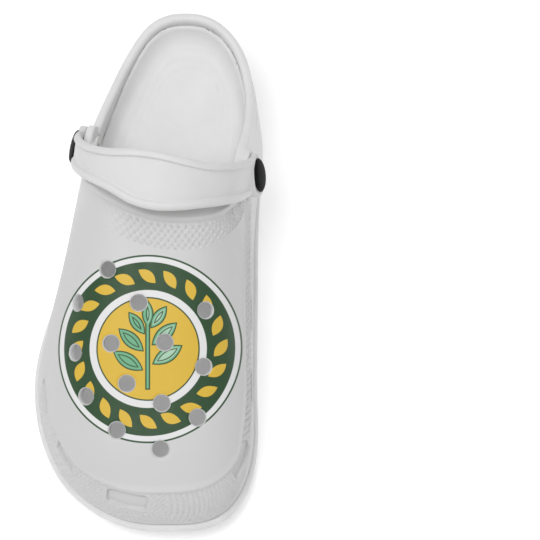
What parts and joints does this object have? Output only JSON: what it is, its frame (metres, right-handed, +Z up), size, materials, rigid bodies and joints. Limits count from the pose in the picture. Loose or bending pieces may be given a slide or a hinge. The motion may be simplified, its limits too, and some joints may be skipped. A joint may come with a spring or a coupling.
{
  "type": "garden clog",
  "caption": "Moulded-foam slip-on garden clog for the right foot, with a vented toe box, side ports and a swinging heel strap on two snap rivets.",
  "frame": {"origin": "on the ground under the middle of the clog's bounding box", "axes": "+Z up, +Y from toe to heel, +X towards the inner (medial) side of the foot"},
  "size_m": [0.1227, 0.29, 0.1273],
  "materials": {
    "white_foam": "satin moulded foam",
    "footbed_foam": "fine-grained moulded foam",
    "black_rivet": "smooth black plastic",
    "white_plastic": "satin white plastic"
  },
  "bodies": {
    "clog_body": {"outsole": "white_foam", "upper": "white_foam", "footbed": "footbed_foam"},
    "strap": {"heel_strap": "white_foam", "rivet_stud_lateral": "black_rivet", "rivet_stud_medial": "black_rivet", "rivet_socket_lateral": "white_plastic", "rivet_socket_medial": "white_plastic"}
  },
  "joints": [
    {"name": "strap_pivot", "type": "hinge", "parent": "clog_body", "child": "strap", "pos_m": [0.0091, 0.0457, 0.058], "axis": [-0.9848, 0.1736, 0], "range_deg": [0, 90]}
  ]
}
